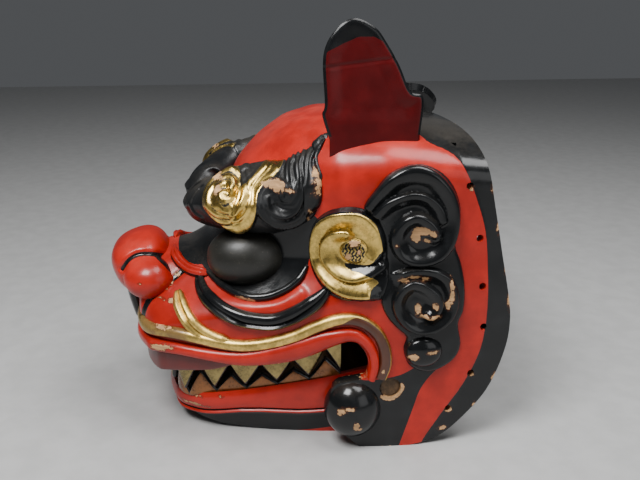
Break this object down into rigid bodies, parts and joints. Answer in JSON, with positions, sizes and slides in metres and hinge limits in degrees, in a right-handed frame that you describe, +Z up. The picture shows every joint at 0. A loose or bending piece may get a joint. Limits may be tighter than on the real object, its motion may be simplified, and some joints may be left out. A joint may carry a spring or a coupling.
{
  "type": "lion dance head",
  "caption": "Open-backed carved wooden lion dance head in red and black lacquer with gilded curls, pointed teeth, pegged ears and a lower jaw that swings on a cross rod.",
  "frame": {"origin": "on the surface it stands on, under the middle of its bounding box", "axes": "the face looks along -Y, the animal's left is +X, +Z is up"},
  "size_m": [0.2742, 0.345, 0.365],
  "materials": {
    "red_lacquer": "vermilion lacquer on wood, semi-gloss, chipped to bare wood on edges",
    "black_lacquer": "black lacquer on wood, glossy where rubbed and dusty on top",
    "gold_leaf": "gold leaf on lacquered wood, worn to brown on ridges",
    "dull_black": "dull dark paint",
    "bare_wood": "plain unvarnished wood"
  },
  "bodies": {
    "head": {"head_shell": "red_lacquer", "nose": "red_lacquer", "brow_left": "black_lacquer", "brow_right": "black_lacquer", "eye_left": "dull_black", "eye_right": "dull_black", "eye_band_left": "black_lacquer", "eye_band_right": "black_lacquer", "lip_line": "gold_leaf", "upper_lip": "red_lacquer", "upper_teeth": "gold_leaf", "cheek_spiral_left": "gold_leaf", "cheek_spiral_right": "gold_leaf", "mane_left": "black_lacquer", "mane_right": "black_lacquer", "jaw_boss_left": "black_lacquer", "jaw_boss_right": "black_lacquer", "jaw_rod": "bare_wood", "ear_left": "red_lacquer", "ear_right": "red_lacquer", "ear_peg_left": "bare_wood", "ear_peg_right": "bare_wood"},
    "jaw": {"lower_jaw": "red_lacquer", "lower_teeth": "gold_leaf"}
  },
  "joints": [
    {"name": "jaw_hinge", "type": "hinge", "parent": "head", "child": "jaw", "pos_m": [0, 0.0685, 0.057], "axis": [1, 0, 0], "range_deg": [0, 28]}
  ]
}
